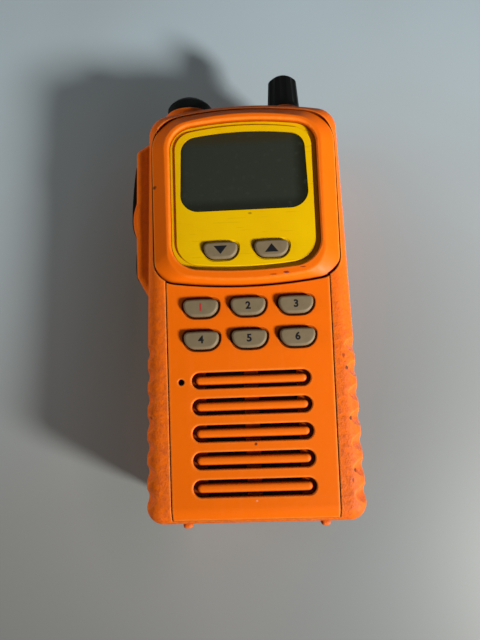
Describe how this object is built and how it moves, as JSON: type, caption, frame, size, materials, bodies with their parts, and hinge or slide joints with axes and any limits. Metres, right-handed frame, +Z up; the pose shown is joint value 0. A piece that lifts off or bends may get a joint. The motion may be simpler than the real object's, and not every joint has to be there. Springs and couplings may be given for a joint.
{
  "type": "handheld marine radio",
  "caption": "Upright handheld radio with display bezel, keypad, slotted speaker grille, side keys, volume knob, capped antenna socket and slide-off battery.",
  "frame": {"origin": "on the floor under the feet, at the middle of the bounding box's footprint", "axes": "+Z up through the top controls, +X to the right of someone facing the keypad, +Y from the keypad to the battery"},
  "size_m": [0.0711, 0.04, 0.1511],
  "materials": {
    "orange_case": "satin, finely textured",
    "orange_panel": "satin",
    "orange_bezel": "satin",
    "yellow_insert": "semi-gloss",
    "smoked_window": "glossy, dark",
    "key_grey": "satin",
    "black_rubber": "matt",
    "black_plastic": "matt",
    "lcd_glass": "glossy",
    "white_plastic": "matt",
    "circuit_board": "solder resist",
    "brass": "turned",
    "steel": "plated",
    "die_cast": "cast",
    "tin_plate": "tinned",
    "magnet_steel": "plated",
    "paper_cone": "matt",
    "mesh_cloth": "woven",
    "cell_wrap": "wrapped cells",
    "gold_contact": "gold plated"
  },
  "bodies": {
    "radio": {"main_case": "orange_case", "rear_cover": "orange_case", "case_gasket": "black_rubber", "case_screws": "steel", "front_panel": "orange_panel", "display_bezel": "orange_bezel", "display_insert": "yellow_insert", "display_lens": "smoked_window", "lens_gasket": "black_rubber", "lcd_cell": "lcd_glass", "lcd_frame": "black_plastic", "lcd_backlight": "white_plastic", "keypad_mat": "black_rubber", "key_switches": "steel", "control_board": "circuit_board", "chassis_plate": "die_cast", "rf_board": "circuit_board", "rf_shields": "tin_plate", "board_screws": "steel", "board_connector": "black_plastic", "speaker_mesh": "mesh_cloth", "speaker_frame": "black_plastic", "speaker_cone": "paper_cone", "speaker_magnet": "magnet_steel", "speaker_retainer": "steel", "microphone": "die_cast", "microphone_boot": "black_rubber", "volume_pot": "die_cast", "pot_nut": "brass", "antenna_socket": "brass", "socket_insulator": "white_plastic", "antenna_nut": "brass", "side_switch_board": "circuit_board", "ptt_switch": "black_plastic", "side_switch": "black_plastic", "terminal_block": "black_plastic", "battery_terminals": "gold_contact", "clip_inserts": "brass"},
    "knob": {"volume_knob": "black_plastic", "knob_sleeve": "brass", "pot_shaft": "steel"},
    "battery": {"battery_case": "orange_case", "battery_cover": "orange_case", "battery_cells": "cell_wrap", "battery_board": "circuit_board", "battery_contacts": "gold_contact"},
    "cap": {"antenna_cap": "black_rubber"},
    "key_1": {"key_1": "key_grey"},
    "key_2": {"key_2": "key_grey"},
    "key_3": {"key_3": "key_grey"},
    "key_4": {"key_4": "key_grey"},
    "key_5": {"key_5": "key_grey"},
    "key_6": {"key_6": "key_grey"},
    "key_down": {"key_down": "key_grey"},
    "key_up": {"key_up": "key_grey"},
    "ptt": {"ptt_button": "black_rubber"},
    "side_key": {"side_button": "black_rubber"},
    "latch": {"battery_latch": "black_plastic"}
  },
  "joints": [
    {"name": "knob_turn", "type": "hinge", "parent": "radio", "child": "knob", "pos_m": [0.01783, -0.005, 0.138], "axis": [0, 0, -1], "range_deg": [0, 300]},
    {"name": "cap_lift", "type": "slide", "parent": "radio", "child": "cap", "axis": [0, 0, 1], "range_m": [0, 0.012]},
    {"name": "key_1_press", "type": "slide", "parent": "radio", "child": "key_1", "axis": [0, 1, 0], "range_m": [0, 0.0007], "stiffness_N_per_m": 1500},
    {"name": "key_2_press", "type": "slide", "parent": "radio", "child": "key_2", "axis": [0, 1, 0], "range_m": [0, 0.0007], "stiffness_N_per_m": 1500},
    {"name": "key_3_press", "type": "slide", "parent": "radio", "child": "key_3", "axis": [0, 1, 0], "range_m": [0, 0.0007], "stiffness_N_per_m": 1500},
    {"name": "key_4_press", "type": "slide", "parent": "radio", "child": "key_4", "axis": [0, 1, 0], "range_m": [0, 0.0007], "stiffness_N_per_m": 1500},
    {"name": "key_5_press", "type": "slide", "parent": "radio", "child": "key_5", "axis": [0, 1, 0], "range_m": [0, 0.0007], "stiffness_N_per_m": 1500},
    {"name": "key_6_press", "type": "slide", "parent": "radio", "child": "key_6", "axis": [0, 1, 0], "range_m": [0, 0.0007], "stiffness_N_per_m": 1500},
    {"name": "key_down_press", "type": "slide", "parent": "radio", "child": "key_down", "axis": [0, 1, 0], "range_m": [0, 0.0007], "stiffness_N_per_m": 1500},
    {"name": "key_up_press", "type": "slide", "parent": "radio", "child": "key_up", "axis": [0, 1, 0], "range_m": [0, 0.0007], "stiffness_N_per_m": 1500},
    {"name": "ptt_press", "type": "slide", "parent": "radio", "child": "ptt", "axis": [1, 0, 0], "range_m": [0, 0.001], "stiffness_N_per_m": 2500},
    {"name": "side_press", "type": "slide", "parent": "radio", "child": "side_key", "axis": [1, 0, 0], "range_m": [0, 0.001], "stiffness_N_per_m": 2500},
    {"name": "battery_slide", "type": "slide", "parent": "radio", "child": "battery", "axis": [0, 1, 0], "range_m": [0, 0.025]},
    {"name": "latch_slide", "type": "slide", "parent": "radio", "child": "latch", "axis": [0, 0, 1], "range_m": [0, 0.0025], "stiffness_N_per_m": 800}
  ]
}
